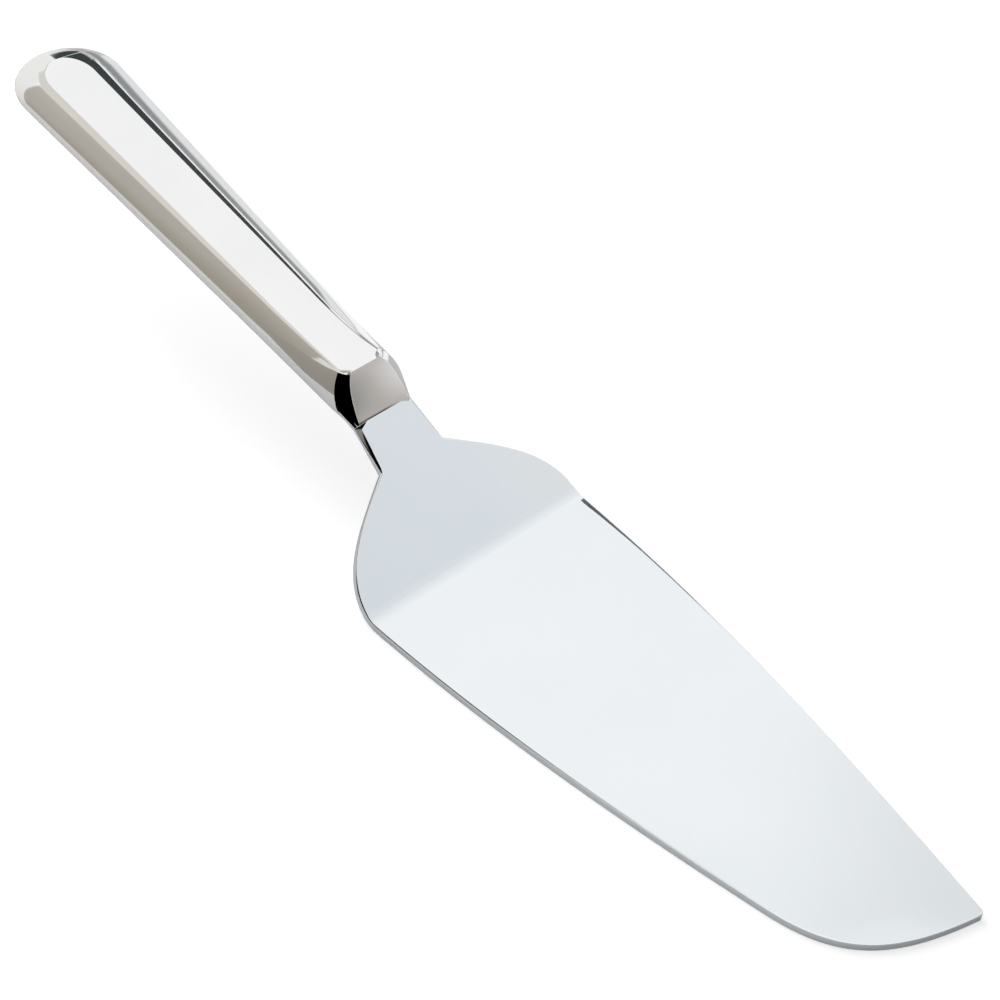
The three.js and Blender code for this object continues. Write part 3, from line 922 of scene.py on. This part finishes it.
def panel(name, low, high, colours, soft_sides, soft_ends, place):
    """A panel between a low and a high edge, each a line of points from left to right, with
    colours from left to right. Soft sides and ends are shares of its width and height."""
    low, high = np.array(low, float), np.array(high, float)
    points, at = [], []
    for v in np.linspace(0, 1, PANEL_STEPS + 1):
        for u in np.linspace(0, 1, PANEL_STEPS + 1):
            across = lerp(low[0][0], low[-1][0], u)
            bottom = np.interp(across, low[:, 0], low[:, 1])
            top = np.interp(across, high[:, 0], high[:, 1])
            points.append(place(across, lerp(bottom, top, v)))
            at.append((u, v))
    obj = make_object(name, points, grid_faces(PANEL_STEPS + 1, PANEL_STEPS + 1))
    layer = obj.data.uv_layers.new(name="panel")
    for loop in obj.data.loops:
        layer.data[loop.index].uv = at[loop.vertex_index]
    obj.data.materials.append(panel_paint(name, colours, soft_sides, soft_ends))
    obj.visible_camera = False
    obj.visible_diffuse = False
    obj.visible_shadow = False
    obj.visible_transmission = False


# Seen in the handle's flank and butt
panel("brown_card", [(165, 54), (170, 50), (180, 47), (190, 46), (205, 45), (215, 43), (226, 40),
                     (234, 33), (239, 26), (245, 12)], [(165, 78), (245, 78)],
      [(0.545, 0.515, 0.465), (0.475, 0.447, 0.40), (0.46, 0.43, 0.38), (0.395, 0.366, 0.315),
       (0.325, 0.298, 0.25)], (0.03, 0.001), (0.07, 0.05), NEAR)
panel("brown_card_near", [(-64, 56), (-48, 21), (-17, 21)], [(-64, 85), (-17, 85)],
      [(0.34, 0.315, 0.275), (0.25, 0.228, 0.20)], (0.02, 0.02), (0.05, 0.05), beside_neck)
panel("beige_card", [(150, 58), (167, 38)], [(150, 72), (167, 72)],
      [(0.76, 0.74, 0.69), (0.72, 0.70, 0.64)], (0.1, 0.05), (0.1, 0.1), MIDDLE)
panel("pale_card_left", [(150, -4), (262, -4)], [(150, 50), (262, 50)],
      [(0.93, 0.93, 0.92), (0.90, 0.90, 0.88), (0.80, 0.79, 0.77), (0.66, 0.65, 0.63),
       (0.64, 0.63, 0.61)], (0.05, 0.05), (0.001, 0.05), FAR)
panel("flag", [(121, 40.3), (131, 38), (135, 35), (140.4, 27)],
      [(121, 44), (128, 43.5), (136, 43), (140.4, 41.3)],
      [FLAG, FLAG_DEEP], (0.11, 0.05), (0.12, 0.1), NEAR)
panel("flag_end", [(126, 39.5), (131, 38), (133, 33), (135, 28.5), (138, 24.5), (142, 18.5),
                   (144, 14.5), (149, 14), (155, 16)],
      [(126, 43.5), (136, 43), (140, 41.5), (143, 36), (145, 31), (149, 28), (155, 27)],
      [FLAG_DEEP, FLAG_DEEP], (0.08, 0.2), (0.12, 0.1), BY_BUTT)
panel("ring_card", [(137, -6), (157, -6)], [(137, 31), (145, 31), (157, 30)],
      [(0.57, 0.575, 0.58), (0.64, 0.645, 0.65)], (0.15, 0.4), (0.1, 0.05), NEAR_RING)
panel("flag_left", [(149.5, 33), (158, 33)], [(149.5, 51.5), (158, 51.5)],
      [FLAG, FLAG], (0.2, 0.2), (0.1, 0.15), BY_BUTT)
panel("grey_card", [(117, 4), (120, 8), (122, 14), (125, 18.5), (128, 22.5), (132, 23), (136, 19),
                    (140, 14), (147, 7), (152, 2)],
      [(117, 18.5), (120, 20.3), (122, 22.5), (125, 27.3), (128, 29.8), (132, 33.2), (135, 33.5),
       (138, 29), (140, 26), (147, 15.5), (152, 12)],
      [GREY, GREY], (0.03, 0.25), (0.6, 0.1), NEAR_GREY)
panel("pale_card_right", [(108, -4), (145, -4)],
      [(108, 10), (117, 16.5), (122, 21.5), (125, 26.5), (132, 31), (145, 33)],
      [(0.82, 0.83, 0.84), (0.84, 0.85, 0.86)], (0.1, 0.1), (0.001, 0.03), MIDDLE)

# Seen in the blade
panel("tip_card", [(96, 38), (150, 38)],
      [(96, 57.3), (115, 57.3), (128, 58.2), (141, 62), (150, 64)],
      [(0.81, 0.815, 0.82), (0.83, 0.835, 0.84)], (0.05, 0.7), (0.3, 0.04), BY_TIP)
panel("crease_card", [(40, 55), (140, 55)], [(40, 80), (140, 80)],
      [(0.78, 0.80, 0.82), (0.83, 0.845, 0.86), (0.885, 0.895, 0.905), (0.94, 0.945, 0.95), WHITE],
      (0.05, 0.05), (0.1, 0.05), FAR)
panel("blue_card", [(16, 42), (78, 42)], [(16, 74), (78, 74)],
      [(0.74, 0.764, 0.79), COOL, COOL_LIGHT, COOL_LIGHT, COOL_LIGHT],
      (0.15, 0.4), (0.15, 0.15), NEAR)
panel("white_card", [(-620, 28), (-62, 28)], [(-620, 800), (-62, 800)],
      [WHITE, WHITE], (0.05, 0.01), (0.01, 0.1), on_floor)

# Seen in the bolster and under the neck
panel("front_card", [(12, 1), (42, 1)], [(12, 36), (42, 36)],
      [(0.31, 0.30, 0.285), (0.345, 0.335, 0.32), (0.50, 0.475, 0.455), (0.70, 0.685, 0.675),
       (0.77, 0.76, 0.75)], (0.05, 0.1), (0.1, 0.3), NEAR)
panel("black_flag", [(254, -16), (314, -16), (322, 0), (355, 6)], [(254, 53), (312, 53), (355, 40)],
      [BLACK, BLACK], (0.025, 0.03), (0.0001, 0.04), BY_BOLSTER)
panel("side_card", [(41, -4), (108, -4)], [(41, 38), (108, 38)],
      [(0.76, 0.71, 0.69), (0.80, 0.785, 0.78)], (0.02, 0.1), (0.05, 0.2), MIDDLE)
panel("floor_flag", [(-23, -115), (18, -115)], [(-23, -36), (18, -36)],
      [BLACK, BLACK], (0.03, 0.1), (0.1, 0.05), on_floor)

# Camera at the photograph's viewing angle: distance and clipping in metres
IMAGE_PIXELS, FOCAL_PIXELS = 1000, 1942.7
SENSOR_WIDTH = 36
CLIP_START, CLIP_END = 0.01, 50
AZIMUTH, ELEVATION, ROLL = 48.89, 45.65, 0.133
DISTANCE = 0.3993
# Point on the table that the camera looks at, in millimetres
TARGET_AHEAD, TARGET_ACROSS = -9.93, 14.71
target = Vector((TARGET_AHEAD + row_shift, TARGET_ACROSS, 0)) * MM
az, el = math.radians(AZIMUTH), math.radians(ELEVATION)
back = Vector((math.sin(az) * math.cos(el), -math.cos(az) * math.cos(el), math.sin(el)))
camera_data = bpy.data.cameras.new("camera")
camera_data.sensor_width = SENSOR_WIDTH
camera_data.lens = FOCAL_PIXELS * SENSOR_WIDTH / IMAGE_PIXELS
camera_data.clip_start, camera_data.clip_end = CLIP_START, CLIP_END
camera = bpy.data.objects.new("camera", camera_data)
bpy.context.scene.collection.objects.link(camera)
camera.location = target + back * DISTANCE
camera.rotation_mode = "QUATERNION"
level = (-back).to_track_quat("-Z", "Y")
camera.rotation_quaternion = level @ Matrix.Rotation(math.radians(ROLL), 3, "Z").to_quaternion()
bpy.context.scene.camera = camera

bpy.context.scene.view_settings.view_transform = "Standard"
